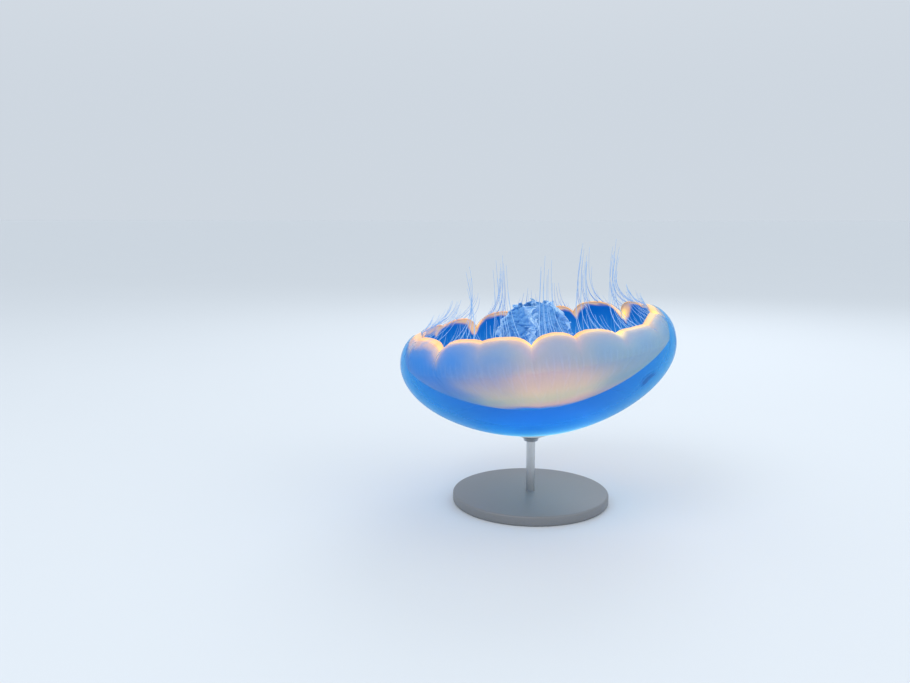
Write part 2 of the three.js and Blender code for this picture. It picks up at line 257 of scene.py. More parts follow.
def face_outwards(piece):
    deselect()
    bpy.context.view_layer.objects.active = piece
    piece.select_set(True)
    bpy.ops.object.mode_set(mode="EDIT")
    bpy.ops.mesh.select_all(action="SELECT")
    bpy.ops.mesh.remove_doubles(threshold=1e-7)
    bpy.ops.mesh.normals_make_consistent(inside=False)
    bpy.ops.object.mode_set(mode="OBJECT")
    bpy.ops.object.shade_smooth()


def finish_piece(piece, material, slot, *nodes):
    piece.data.materials.clear()
    piece.data.materials.append(material)
    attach(piece, BODY)
    if nodes:
        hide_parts(*nodes)


def apply_modifiers(piece):
    deselect()
    bpy.context.view_layer.objects.active = piece
    piece.select_set(True)
    for modifier in list(piece.modifiers):
        bpy.ops.object.modifier_apply(modifier=modifier.name)


def closed_shell(name, columns, rows):
    """A ball to be pressed into a bowl, with each vertex's angle and how far down it is, 0 to 1."""
    deselect()
    bpy.ops.mesh.primitive_uv_sphere_add(segments=columns, ring_count=rows, radius=1)
    piece = new_piece(name)
    x, y, z = vertices_of(piece).T
    even = np.degrees(np.arctan2(x, -y))
    down = np.arccos(np.clip(z, -1, 1)) / math.pi
    return piece, even_to_angle(even), down


# ---- Materials ----------------------------------------------------------------------------------------


class Signal:
    """A number that varies over a surface, for sums written as ordinary arithmetic."""

    def __init__(self, paint, socket):
        self.paint, self.socket = paint, socket

    def math(self, operation, *values):
        node = self.paint.node("ShaderNodeMath", {"operation": operation}, self, *values)
        return Signal(self.paint, node.outputs[0])

    def __add__(self, other):
        return self.math("ADD", other)

    __radd__ = __add__

    def __mul__(self, other):
        return self.math("MULTIPLY", other)

    __rmul__ = __mul__

    def __sub__(self, other):
        return self.math("SUBTRACT", other)

    def __rsub__(self, other):
        return (self * -1).math("ADD", other)

    def __truediv__(self, other):
        return self.math("DIVIDE", other)

    def __pow__(self, other):
        return self.math("POWER", other)

    def smooth(self, start, end):
        """0 at start and 1 at end, smooth between; start may be the larger one."""
        low, high, flip = (start, end, False) if start < end else (end, start, True)
        limits = {"From Min": low, "From Max": high}
        soft = {"interpolation_type": "SMOOTHSTEP"}
        node = self.paint.node("ShaderNodeMapRange", soft, Value=self, **limits)
        made = Signal(self.paint, node.outputs[0])
        return 1 - made if flip else made


class Paint:
    """A material of one principled shader, and the nodes that feed it."""

    def __init__(self, name, **constants):
        self.material = bpy.data.materials.new(name)
        self.material.use_nodes = True
        self.tree = self.material.node_tree
        self.tree.nodes.clear()
        self.output = self.tree.nodes.new("ShaderNodeOutputMaterial")
        self.shader = self.node("ShaderNodeBsdfPrincipled", {}, **constants)
        self.tree.links.new(self.shader.outputs[0], self.output.inputs["Surface"])

    def node(self, kind, settings, *values, **named):
        """Adds a node: its settings first, then the values or links of its sockets."""
        node = self.tree.nodes.new(kind)
        for key, value in settings.items():
            setattr(node, key, value)
        for key, value in [*enumerate(values), *named.items()]:
            self.feed(node.inputs[key], value)
        return node

    def feed(self, socket, value):
        if isinstance(value, Signal):
            value = value.socket
        if isinstance(value, bpy.types.NodeSocket):
            self.tree.links.new(value, socket)
        elif isinstance(value, (tuple, list)) and len(value) == 3 and socket.type == "RGBA":
            socket.default_value = (*value, 1)
        else:
            socket.default_value = value

    def drive(self, name, value):
        self.feed(self.shader.inputs[name], value)

    def attribute(self, name):
        return Signal(self, self.node("ShaderNodeAttribute", {"attribute_name": name}).outputs["Fac"])

    def coordinates(self):
        return self.node("ShaderNodeTexCoord", {}).outputs["Object"]

    def place(self):
        """Where a point is in the bell's own frame, in metres."""
        turned = self.node(
            "ShaderNodeMapping",
            {"vector_type": "TEXTURE"},
            Vector=self.coordinates(),
            Location=tuple(BELL.translation),
            Rotation=tuple(BELL.to_euler()),
        )
        return turned.outputs[0]

    def parts(self, vector):
        node = self.node("ShaderNodeSeparateXYZ", {}, vector)
        return [Signal(self, socket) for socket in node.outputs]

    def noise(self, vector, scale, detail=2.0, roughness=0.5, distortion=0.0):
        node = self.node(
            "ShaderNodeTexNoise",
            {},
            Vector=vector,
            Scale=scale,
            Detail=detail,
            Roughness=roughness,
            Distortion=distortion,
        )
        return Signal(self, node.outputs[0])

    def mix(self, factor, first, second):
        node = self.node("ShaderNodeMix", {"data_type": "RGBA"})
        for socket, value in ((0, factor), (6, first), (7, second)):
            self.feed(node.inputs[socket], value)
        return node.outputs[2]

    def scaled(self, colour, times):
        return self.node("ShaderNodeVectorMath", {"operation": "SCALE"}, colour, Scale=times).outputs[0]

    def bump(self, height, strength, distance):
        node = self.node("ShaderNodeBump", {}, Strength=strength, Distance=distance, Height=height)
        self.tree.links.new(node.outputs[0], self.shader.inputs["Normal"])

    def absorb(self, colour, density):
        node = self.node("ShaderNodeVolumeAbsorption", {}, Color=colour, Density=density)
        self.tree.links.new(node.outputs[0], self.output.inputs["Volume"])


def srgb(red, green, blue):
    """A colour as screens count it, 0 to 255, to Blender's linear values."""
    shares = (red / 255, green / 255, blue / 255)
    return tuple(c / 12.92 if c <= 0.04045 else ((c + 0.055) / 1.055) ** 2.4 for c in shares)


# ---- Settings -----------------------------------------------------------------------------------------


def colour_property(name, description, default):
    return FloatVectorProperty(
        name=name, description=description, subtype="COLOR", default=default, min=0, max=1
    )


def length_property(name, description, default):
    return FloatProperty(name=name, description=description, default=default, unit="LENGTH")


def share_property(name, description, default):
    return FloatProperty(name=name, description=description, default=default, subtype="FACTOR")


class BellSettings(bpy.types.PropertyGroup):
    columns: IntProperty(
        name="Columns", description="Columns of faces round the bell, a multiple of the lobes", default=320
    )
    tint: colour_property("Tint", "What the jelly leaves of white light", (0.1, 0.755, 0.955))
    density: FloatProperty(
        name="Density", description="How strongly the jelly tints, per metre", default=42.0
    )
    pale: colour_property("Pale", "The jelly's skin where it is thin", srgb(78, 158, 244))
    deep: colour_property("Deep", "The jelly's skin where it is thick", srgb(82, 170, 250))
    # The thick jelly's glow is emission, a painted glow: the jelly gives off no light.
    painted_glow: colour_property("Glow", "The thick jelly's own glow", (0.15, 0.57, 0.57))
    veil: share_property("Veil", "How opaque the skin is where it is thin", 0.41)
    body: share_property("Body", "How opaque it is where it is thick", 0.8)


class LiningSettings(bpy.types.PropertyGroup):
    # Cool is painted shade: the lining's darker, bluer side and the middles of the lobes.
    cool_painted_shade: colour_property("Cool", "The lining on its bluer side", srgb(72, 164, 240))
    grey: colour_property("Grey", "The lining on its milky side", srgb(208, 196, 142))
    # Warm is partly the gonads' own tint and partly a painted glow of light scattered in the lining.
    gonad_tint_and_painted_glow: colour_property("Warm", "The lining over the gonads", srgb(252, 201, 144))
    margin: colour_property("Margin", "The bright band along the edge", srgb(246, 196, 152))
    notch: colour_property("Notch", "The edge and its notches", srgb(248, 176, 112))
    organ: colour_property("Organ", "The spots round the sense organs", srgb(250, 206, 138))
    inside: colour_property("Inside", "The lining's inner face", srgb(5, 122, 212))
    # From here on each colour is emission, a painted glow that stands in for light passing through the
    # jelly and the lining, which give off none. Depth lifts the shaded inner face, Sheen is a painted
    # highlight on the creases, and Gleam and Spark light up the margin and the sense organs.
    through: colour_property("Through", "Light that comes through the milky side", (0.055, 0.03, 0.0))
    painted_ember_glow: colour_property("Ember", "The glow of the gonads through the lining", (0.86, 0.24, 0.0))
    painted_heart_glow: colour_property("Heart", "The same glow under the thickest jelly", (1.0, 0.09, 0.0))
    depth: colour_property("Depth", "The glow of the inner face", (0.0, 0.014, 0.03))
    painted_crease_sheen: colour_property("Sheen", "The glow of the creases", (0.06, 0.075, 0.09))
    painted_organ_glow: colour_property("Spark", "The glow round the sense organs on the milky side", (0.3, 0.2, 0.03))
    painted_margin_glow: colour_property("Gleam", "The glow of the margin", (0.15, 0.082, 0.042))


class TentacleSettings(bpy.types.PropertyGroup):
    root_radius: length_property("Root", "A tentacle's radius at its root", 0.00023)
    tip_radius: length_property("Tip", "A tentacle's radius at its tip", 0.0001)
    lean: length_property("Lean", "How far tentacles turn in before they rise", 0.024)
    colour: colour_property("Colour", "The tentacles' colour", srgb(165, 208, 250))


class ArmSettings(bpy.types.PropertyGroup):
    thickness: length_property("Thickness", "Thickness of an arm's leaf", 0.0008)
    frill: length_property("Frill", "Height of the ruffles along its edges", 0.0038)
    colour: colour_property("Colour", "The oral arms' colour", srgb(64, 138, 212))
    # The arms' glow is emission, a painted glow that lightens their shaded folds.
    painted_glow: colour_property("Glow", "The oral arms' own glow", (0.025, 0.12, 0.23))


class StageSettings(bpy.types.PropertyGroup):
    floor: colour_property("Floor", "The floor's colour", (0.68, 0.73, 0.78))
    light: FloatProperty(name="Light", description="Power of the main light, in watts", default=9.5)
    horizon: colour_property("Horizon", "Light from the horizon", (0.62, 0.68, 0.75))
    overhead: colour_property("Overhead", "Light from overhead", (0.94, 0.97, 1.0))


# ---- Bell ---------------------------------------------------------------------------------------------


class JELLYFISH_OT_bell(bpy.types.Operator):
    """Press a ball into the clear jelly of the bell, thick at the apex and thin at the margin"""

    bl_idname = "jellyfish.bell"
    bl_label = "Clear bell"

    def execute(self, context):
        settings = context.scene.jellyfish_bell
        piece, angle, down = closed_shell("bell_clear_jelly", settings.columns, 160)
        outer = down < 0.5
        share = np.where(outer, 2 * down, 2 - 2 * down)
        s = JELLY_END * share**1.05
        depth = np.where(outer, 0, jelly_thickness(s))
        set_vertices(piece, in_model(bell_points(s, angle, depth)))
        note(piece, "way", s)
        note(piece, "inner", np.where(outer, 0, 1))
        note(piece, "dent_along", s - DENT_WAY)
        note(piece, "dent_across", np.radians(between(DENT_ANGLE, angle)) * meridian(s, angle)[0])
        face_outwards(piece)
        finish_piece(piece, clear_jelly(settings), "jelly", "bell_jelly")
        return {"FINISHED"}


def clear_jelly(settings):
    """Clear jelly under a thin film, which is denser at the apex and thins out at the margin."""
    constants = {"Roughness": 0.3, "IOR": 1.34, "Specular IOR Level": 0.12, "Emission Strength": 1.0}
    paint = Paint("clear_jelly", **constants)
    place = paint.place()
    way, inner = paint.attribute("way"), paint.attribute("inner")
    grain = paint.noise(place, 90, 3)
    cloud = paint.noise(place, 14, 2)
    thick = way.smooth(80, 34)

    # The dent is a dark crescent of painted shade, with a pale lip of painted highlight beside it.
    along, across = paint.attribute("dent_along"), paint.attribute("dent_across")
    bow = across * 0.45 + along * along * 0.035
    dent_and_painted_shade = (bow - 1.2).math("ABSOLUTE").smooth(3.0, 0.8) * along.math("ABSOLUTE").smooth(10, 5)
    lip_painted_highlight = (bow - 4.4).math("ABSOLUTE").smooth(1.6, 0.4) * along.math("ABSOLUTE").smooth(11, 5)

    colour = paint.mix((thick - cloud * 0.2) * 0.8, settings.pale[:], settings.deep[:])
    colour = paint.mix(dent_and_painted_shade * 0.9, colour, srgb(20, 90, 175))
    paint.drive("Base Color", paint.mix(lip_painted_highlight * 0.9, colour, srgb(160, 210, 255)))
    # The thick jelly gets a painted glow: emission that lightens it, though jelly gives off no light.
    paint.drive("Emission Color", paint.mix(thick, (0, 0, 0), settings.painted_glow[:]))
    film = settings.veil + thick * (settings.body - settings.veil) + (dent_and_painted_shade + lip_painted_highlight) * 0.5
    film = film * (1 - way.smooth(181, 191) * 0.35)
    paint.drive("Alpha", film * (1 - inner * 0.95))
    paint.bump(grain * 0.4 - dent_and_painted_shade * 2, 0.3, 0.0006)
    paint.absorb(tuple(settings.tint), settings.density)
    return paint.material


class JELLYFISH_OT_lining(bpy.types.Operator):
    """Press a ball into the thin milky lining, with its scalloped, bright and beaded margin"""

    bl_idname = "jellyfish.lining"
    bl_label = "Lining and margin"

    def execute(self, context):
        settings = context.scene.jellyfish_lining
        columns = context.scene.jellyfish_bell.columns
        piece, angle, down = closed_shell("bell_lining_and_margin", columns, 200)
        outer = down < 0.5
        share = np.where(outer, 2 * down, 2 - 2 * down)
        s = EDGE * share**0.94
        top = jelly_thickness(s) + LINING_GAP
        middle = top + lining_thickness(s) / 2
        half = lining_thickness(s) / 2 * np.sqrt(np.clip((EDGE - s) / 1.2, 0, 1))
        half = half + 0.35 * np.exp(-(((EDGE - 2 - s) / 1.6) ** 2))
        beads = 0.16 * np.sin(np.radians(angle) * 190) * smooth(s, EDGE - 5, EDGE - 1)
        depth = np.where(outer, middle - half - beads, middle + half + beads)
        set_vertices(piece, in_model(bell_points(s, angle, depth)))
        note(piece, "way", s)
        note(piece, "from_edge", EDGE - s)
        note(piece, "inner", np.where(outer, 0, 1) * smooth(EDGE - s, 0, 3))
        note(piece, "notch", np.clip(notch_drop(angle) / FULL_NOTCH, 0, 1))
        # The middles of the lobes by the margin, where the lining is painted with shade.
        note(piece, "lobe_middle_shade", lobe_middle(angle) * smooth(s, 148, 172))
        nearest = min_by_size([between(at, angle) for at in SENSE_NOTCHES])
        note(piece, "across", np.radians(nearest) * meridian(s, angle)[0])
        face_outwards(piece)
        finish_piece(piece, milky_lining(settings), "lining", "bell_lining", *LOBES, *SENSE_ORGANS)
        return {"FINISHED"}


# The strength of the lining's painted glow, as a multiple of its colours: emission that makes up for the
# light the thick jelly takes away.
LINING_PAINTED_GLOW = 3.2
# How many canals there are, and the ways from one fork to the next.
CANALS = ((16, 30, 74), (32, 74, 118), (64, 118, 170))


def canal_lines(turn, way, cloud):
    """Canals run out from the stomach and fork, twice as many after each fork."""
    canals = 0.0
    for count, start, end in CANALS:
        spread = 0.25 * way.smooth(start, end)
        aside = (turn * (count / (2 * math.pi)) + (cloud - 0.5) * 0.5 + 8.5).math("FRACT") - 0.5
        line = (aside.math("ABSOLUTE") - spread).math("ABSOLUTE") / count
        here = way.smooth(start - 4, start + 4) * way.smooth(end + 4, end - 4)
        canals = line.smooth(0.0016, 0.0004) * here + canals
    return canals


def creases_under_notch(across, from_edge, cloud):
    """Creases spread like a star under each notch with a sense organ."""
    down = from_edge - 15
    ray = across.math("ARCTAN2", down) * 5 + cloud * 6
    line = (ray.math("FRACT") - 0.5).math("ABSOLUTE").smooth(0.14, 0.02)
    out = (across * across + down * down) ** 0.5
    return line * out.smooth(13, 6) * out.smooth(1, 4) * from_edge.smooth(12, 18)


def milky_lining(settings):
    """Milky tissue: warm over the gonads, partly their tint and partly a painted glow; painted bluer and
    darker on one side as shade; bright at the margin and blue inside.
    """
    constants = {"Roughness": 0.5, "IOR": 1.36, "Specular IOR Level": 0.3, "Emission Strength": 1.0}
    paint = Paint("milky_lining", **constants)
    place = paint.place()
    x, y, _ = paint.parts(place)
    way, from_edge = paint.attribute("way"), paint.attribute("from_edge")
    notch, inner = paint.attribute("notch"), paint.attribute("inner")
    cloud = paint.noise(place, 16, 3)
    fine = paint.noise(place, 120, 4)
    uneven = paint.noise(place, 75, 2)
    turn = x.math("ARCTAN2", y * -1)
    canals = canal_lines(turn, way, cloud)

    # The lining is warm over the four gonads, partly their own tint and partly a painted glow of scattered
    # light. One side is painted bluer and darker as painted shade, and the other flank is greyer.
    lobed = (turn * 4 - 4 * math.radians(FIRST_ARM + 45)).math("COSINE") * 0.5 + 0.5
    warmth = way.smooth(8, 40) * way.smooth(188, 128) * (0.35 + 0.65 * lobed)
    warmth = warmth + (cloud - 0.5) * 0.5
    side = (x + (cloud - 0.5) * 0.08).smooth(-0.003, -0.082)
    flank = x.smooth(0.02, 0.1)
    milk = paint.mix(side, settings.grey[:], settings.cool_painted_shade[:])
    milk = paint.mix(flank * 0.6, milk, srgb(204, 222, 200))
    gonad_tint_and_painted_glow = warmth.smooth(0.0, 0.65) * (1 - side * 0.7 - flank * 0.55)
    colour = paint.mix(gonad_tint_and_painted_glow, milk, settings.gonad_tint_and_painted_glow[:])
    colour = paint.mix(canals * 0.12, colour, (0.9, 0.93, 0.96))
    # The middles of the lobes are painted bluer and lose their glow: painted shade that makes them look
    # puffed, stronger on the shaded side.
    lobe_middle_shade = paint.attribute("lobe_middle_shade") * (0.14 + side * 0.2)
    colour = paint.mix(lobe_middle_shade, colour, settings.cool_painted_shade[:])

    across = paint.attribute("across")
    crease_and_highlight = creases_under_notch(across, from_edge, cloud)
    # The creases are painted pale: a painted highlight along each crease.
    colour = paint.mix(crease_and_highlight * 0.8, colour, srgb(225, 235, 250))
    inside = paint.mix(fine * 0.3 + canals * 0.3, settings.inside[:], (0.1, 0.4, 0.75))
    colour = paint.mix(inner, colour, inside)

    # The margin: a bright stripe with a soft halo under it, a pool of colour in each notch, the edge
    # itself, and a spot round each sense organ.
    reach = from_edge - notch * 12 - (uneven - 0.5) * 11 - x.smooth(-0.06, -0.11) * 7
    stripe, halo = reach.smooth(12.5, 5), reach.smooth(22, 6) * (0.55 - side * 0.2)
    stripe = stripe * (0.35 + (side + inner).math("MINIMUM", 1) * 0.65)
    stripe = stripe * (0.6 + uneven.smooth(0.32, 0.56) * 0.4)
    pool = notch * from_edge.smooth(36, 16) * (1 - inner)
    from_organ = from_edge - 8
    spot = (across * across + from_organ * from_organ * 0.6) ** 0.5
    organ = spot.smooth(9, 1.5)
    tip = (from_edge - notch * 10).smooth(6, 0.5) * (0.35 + notch * 0.65)
    bright = paint.mix(uneven.smooth(0.42, 0.62), settings.margin[:], settings.notch[:])
    colour = paint.mix(halo * (1 - inner), colour, settings.margin[:])
    colour = paint.mix(pool * 0.85, colour, settings.notch[:])
    colour = paint.mix(stripe, colour, bright)
    colour = paint.mix(tip, colour, settings.notch[:])
    colour = paint.mix(organ * 0.8, colour, settings.organ[:])
    paint.drive("Base Color", colour)

    # The painted glow, emission that stands in for light coming through the jelly, follows the same marks
    # and is stronger and redder under the thickest jelly. The inner face, the creases, the margin and the
    # sense organs get painted glow as well.
    painted_ember_glow = gonad_tint_and_painted_glow * (0.2 + way.smooth(170, 85) * 0.8)
    low = way - x.smooth(0.0, 0.09) * 24
    painted_glow = paint.mix(low.smooth(100, 62), settings.painted_ember_glow[:], settings.painted_heart_glow[:])
    lit = paint.mix(painted_ember_glow, paint.mix(side, settings.through[:], (0, 0, 0)), painted_glow)
    lit = paint.mix(lobe_middle_shade, lit, (0, 0, 0))
    lit = paint.mix(inner, lit, settings.depth[:])
    lit = paint.mix(crease_and_highlight * 0.6, lit, settings.painted_crease_sheen[:])
    lit = paint.mix(pool * 0.8, lit, settings.painted_margin_glow[:])
    lit = paint.mix(stripe * 0.9, lit, settings.painted_margin_glow[:])
    shine = paint.mix(x.smooth(0.03, -0.01), settings.painted_organ_glow[:], settings.painted_margin_glow[:])
    lit = paint.mix(organ * 0.9, lit, shine)
    strength = (low.smooth(98, 58) + inner * stripe * 0.5 + 1) * LINING_PAINTED_GLOW
    paint.drive("Emission Color", paint.scaled(lit, strength))

    # The outer face clears towards the apex along an uneven edge, where the jelly alone shows.
    below = way - x.math("ABSOLUTE").smooth(0.02, 0.1) * 18 + (cloud - 0.5) * 80
    outside = below.smooth(50, 76) * (1 - side * (1 - stripe) * 0.15)
    paint.drive("Alpha", outside + inner * (0.95 + way.smooth(20, 55) * 0.05 - outside))
    paint.bump(fine * 0.6 + canals - crease_and_highlight, 0.4, 0.0006)
    return paint.material


# ---- Tentacles ----------------------------------------------------------------------------------------


TENTACLE_LENGTHS = (54, 61, 50, 58, 47)
STRANDS = 4
STUBS = 9
# Near this angle the tentacles drift aside.
DRIFT_AT, DRIFT_WIDTH, DRIFT = -22, 22, -14
# The share of its length that each lobe's tentacles are stretched to: some hold theirs drawn in.
STRETCH = (1, 1, 1, 0.42, 0.38, 1, 1, 0.45, 0.36, 1, 0.42, 0.4, 0.45, 0.38, 1, 1)


def tentacle_path(lobe, share, length, lean, phase, steps=14):
    """A tentacle's points: inwards off the margin, up, and gathered to the middle of its lobe."""
    start, end = NOTCH_ANGLES[lobe], NOTCH_ANGLES[lobe + 1]
    middle = (start + end) / 2
    angle = start + (end - start) * share
    root = bell_points(EDGE - 1.2, angle, 0.9)
    aside = bell_points(EDGE, middle, 0) - bell_points(EDGE, angle, 0)
    aside[2] = 0
    turn = math.radians(angle)
    inwards = np.array([-math.sin(turn), math.cos(turn), 0])
    reach = lean * (1 + 0.5 * max(0, -math.sin(turn)))
    drift = DRIFT * math.exp(-((between(DRIFT_AT, angle) / DRIFT_WIDTH) ** 2))
    up = np.array([math.sin(TILT), 0, math.cos(TILT)])
    rise = length * np.linspace(0, 1, steps) ** 1.5
    sway = 0.03 * rise * np.sin(rise / 19 + phase)
    tip = (rise / length) ** 2 * smooth(length, 15, 45)
    in_share = reach * (1 - np.exp(-rise / 13)) - 7 * tip + sway
    return (
        root
        + rise[:, None] * up
        + in_share[:, None] * inwards
        + 0.6 * (1 - np.exp(-rise / 24))[:, None] * aside
        + (drift * (1 - np.exp(-rise / 16)))[:, None] * np.array([1, 0, 0])
    )


class JELLYFISH_OT_tentacles(bpy.types.Operator):
    """Lay each fine tentacle as a tapering curve off the margin, and join them as one mesh"""

    bl_idname = "jellyfish.tentacles"
    bl_label = "Tentacles"

    def execute(self, context):
        settings = context.scene.jellyfish_tentacles
        rng = np.random.default_rng(7)
        curve = bpy.data.curves.new("tentacles", "CURVE")
        curve.dimensions = "3D"
        curve.bevel_depth = 1.0
        curve.bevel_resolution = 1
        curve.use_fill_caps = True
        lean = settings.lean / MM
        for lobe in range(LOBE_COUNT):
            for strand in range(STRANDS):
                share = 0.12 + 0.76 * (strand + 0.5) / STRANDS
                length = STRETCH[lobe] * TENTACLE_LENGTHS[(3 * lobe + strand) % len(TENTACLE_LENGTHS)]
                for twin in range(2 if STRETCH[lobe] == 1 else 1):
                    off = 0 if twin == 0 else rng.uniform(-0.07, 0.07)
                    shorter = 1 if twin == 0 else rng.uniform(0.55, 0.98)
                    phase = 1.7 * lobe + strand + (0 if twin == 0 else rng.uniform(-0.7, 0.7))
                    path = tentacle_path(lobe, share + off, length * shorter, lean, phase)
                    self.lay(curve, settings, path, 1.0)
            for stub in range(STUBS):
                share = (stub + rng.uniform(0.2, 0.8)) / STUBS
                path = tentacle_path(lobe, share, rng.uniform(5, 16), lean * 0.5, rng.uniform(0, 6), 7)
                self.lay(curve, settings, path, 0.75)
        piece = bpy.data.objects.new("tentacles", curve)
        context.collection.objects.link(piece)
        deselect()
        context.view_layer.objects.active = piece
        piece.select_set(True)
        bpy.ops.object.convert(target="MESH")
        piece = new_piece("tentacles")
        face_outwards(piece)
        finish_piece(piece, tentacle_jelly(settings), "margin", *LOBES)
        return {"FINISHED"}

    def lay(self, curve, settings, path, size):
        """Adds one tentacle to the curve, thinner towards its tip."""
        spline = curve.splines.new("POLY")
        spline.points.add(len(path) - 1)
        for point, place, share in zip(spline.points, in_model(path), np.linspace(0, 1, len(path))):
            point.co = (*place, 1)
            point.radius = size * (settings.root_radius * (1 - share) + settings.tip_radius * share)


def tentacle_jelly(settings):
    paint = Paint("tentacle_jelly", **{"Roughness": 0.35, "IOR": 1.36})
    place = paint.place()
    _, _, z = paint.parts(place)
    beads = paint.noise(place, 700, 1)
    colour = paint.mix(z.smooth(0.1, 0.16) * 0.5 + beads * 0.2, settings.colour[:], srgb(120, 180, 242))
    paint.drive("Base Color", colour)
    paint.bump(beads, 0.3, 0.0002)
    return paint.material


# ---- Mouth, oral arms and gonads ----------------------------------------------------------------------

MOUTH_FOOT = 2.6
MOUTH_HEIGHT = 16
MOUTH_RADIUS = 13
MOUTH_TOP = JELLY_AT_APEX + LINING_GAP + MOUTH_FOOT + MOUTH_HEIGHT
# The stalk is set this much higher, to start inside the lining and end inside the arms.
MOUTH_LIFT = 1.5
# The angle of the first arm. The others follow at quarter turns, with the gonads between them.
FIRST_ARM = 42.0
# An arm's leaf starts near the axis, swells outwards as it rises and closes again at its tip.
ARM_RISE = 76.0
ARM_FOOT = 9
ARM_SWELL = 18
ARM_CLOSES = 2.86
ARM_SPREAD = 0.86
# A gonad is a horseshoe that sweeps this many degrees to each side of its middle.
GONAD_RING = 15
GONAD_FROM_AXIS = 58
GONAD_SWEEP = 122
GONAD_HALF_WIDTH = 3.9
GONAD_HALF_HEIGHT = 3.04
GONAD_LIFT = 1.2


def frills(seed, share, across):
    """Irregular ruffles that grow finer and shallower, from -1 to 1 or so."""
    rng = np.random.default_rng(seed)
    total = 0
    for octave in range(7):
        waves = 17 * 1.55**octave * rng.uniform(0.85, 1.15)
        slant, start = rng.uniform(-11, 11), rng.uniform(0, 2 * math.pi)
        total = total + 1.28**-octave * np.sin(waves * share + slant * across * (1 + octave / 2) + start)
    return total / 2


def arm_points(number, share, across, frill):
    """An oral arm's leaf: share runs up it, across from -1 to 1 over it, with ruffled edges."""
    keel = ARM_FOOT + ARM_SWELL * np.sin(ARM_CLOSES * np.clip(share, 0, 1) ** 1.25)
    edge = 0.4 + 0.6 * np.abs(across) ** 1.4
    side = np.sign(across)
    out = keel * (1 - 0.24 * np.abs(across)) + frill * edge * frills(10 * number, share, across)
    wide = across * ARM_SPREAD * keel + side * frill * edge * frills(10 * number + 1, share, across)
    lift = frill * edge * frills(10 * number + 2, share, across) * smooth(share, 0, 0.1)
    turn = math.radians(FIRST_ARM + 90 * number)
    x = wide * math.cos(turn) + out * math.sin(turn)
    y = wide * math.sin(turn) - out * math.cos(turn)
    z = MOUTH_TOP + LINING_GAP + ARM_RISE * share + lift
    return np.stack([x + share**2, y, z], -1)


class JELLYFISH_OT_arms(bpy.types.Operator):
    """Ruffle a fine grid into the frilled leaf of each oral arm"""

    bl_idname = "jellyfish.arms"
    bl_label = "Oral arms"

    def execute(self, context):
        settings = context.scene.jellyfish_arms
        for number in range(ARMS):
            deselect()
            bpy.ops.mesh.primitive_grid_add(x_subdivisions=44, y_subdivisions=480, size=2)
            piece = new_piece(f"oral_arm_{number + 1}_frilled")
            x, y, _ = vertices_of(piece).T
            set_vertices(piece, in_model(arm_points(number, (y + 1) / 2, x, settings.frill / MM)))
            note(piece, "rim", np.abs(x))
            solid = piece.modifiers.new("leaf", "SOLIDIFY")
            solid.thickness = settings.thickness
            solid.offset = 0
            apply_modifiers(piece)
            face_outwards(piece)
            nodes = [f"oral_arm_{number + 1}_{half}" for half in ("lower", "upper")]
            finish_piece(piece, frilled_jelly(settings, number), "oral_arm", *nodes)
        return {"FINISHED"}


def frilled_jelly(settings, number):
    """Blue jelly, painted paler along the ruffled edges as a highlight, with a painted glow that lifts its
    shade.
    """
    constants = {"Roughness": 0.4, "IOR": 1.3, "Emission Strength": 1.0}
    paint = Paint(f"frilled_jelly_{number + 1}", **constants)
    place = paint.place()
    rim = paint.attribute("rim")
    grain = paint.noise(place, 260, 4)
    # Paler along the rims: a painted highlight on the ruffled edges.
    pale = rim.smooth(0.5, 1.0) * 0.65 + grain * 0.25
    paint.drive("Base Color", paint.mix(pale, settings.colour[:], srgb(200, 230, 255)))
    paint.drive("Emission Color", paint.mix(grain, (0, 0, 0), settings.painted_glow[:]))
    paint.drive("Alpha", 0.85 + rim.smooth(0.6, 1.0) * 0.15)
    paint.bump(grain, 0.5, 0.0006)
    return paint.material


class JELLYFISH_OT_mouth(bpy.types.Operator):
    """Turn a short stalk with four corners under the oral arms"""

    bl_idname = "jellyfish.mouth"
    bl_label = "Mouth"

    def execute(self, context):
        deselect()
        bpy.ops.mesh.primitive_uv_sphere_add(segments=96, ring_count=48, radius=1)
        piece = new_piece("mouth_stalk")
        x, y, z = vertices_of(piece).T
        turn = np.arctan2(x, -y)
        height = (z + 1) / 2
        flare = 1.35 - 0.5 * smooth(height, 0.05, 0.55) + 0.12 * smooth(height, 0.6, 1)
        corners = 1 + 0.15 * np.cos(ARMS * (turn - math.radians(FIRST_ARM)))
        ribs = 0.03 * np.cos(24 * turn)
        from_axis = np.hypot(x, y)
        radius = from_axis**0.35 * MOUTH_RADIUS * flare * (corners + ribs)
        radius = np.where(from_axis < 1e-6, 0, radius)
        level = JELLY_AT_APEX + MOUTH_LIFT + (MOUTH_TOP - JELLY_AT_APEX) * height
        places = np.stack([radius * np.sin(turn), -radius * np.cos(turn), level], -1)
        set_vertices(piece, in_model(places))
        note(piece, "rim", height)
        face_outwards(piece)
        finish_piece(piece, frilled_jelly(context.scene.jellyfish_arms, ARMS), "oral_arm", "mouth")
        return {"FINISHED"}


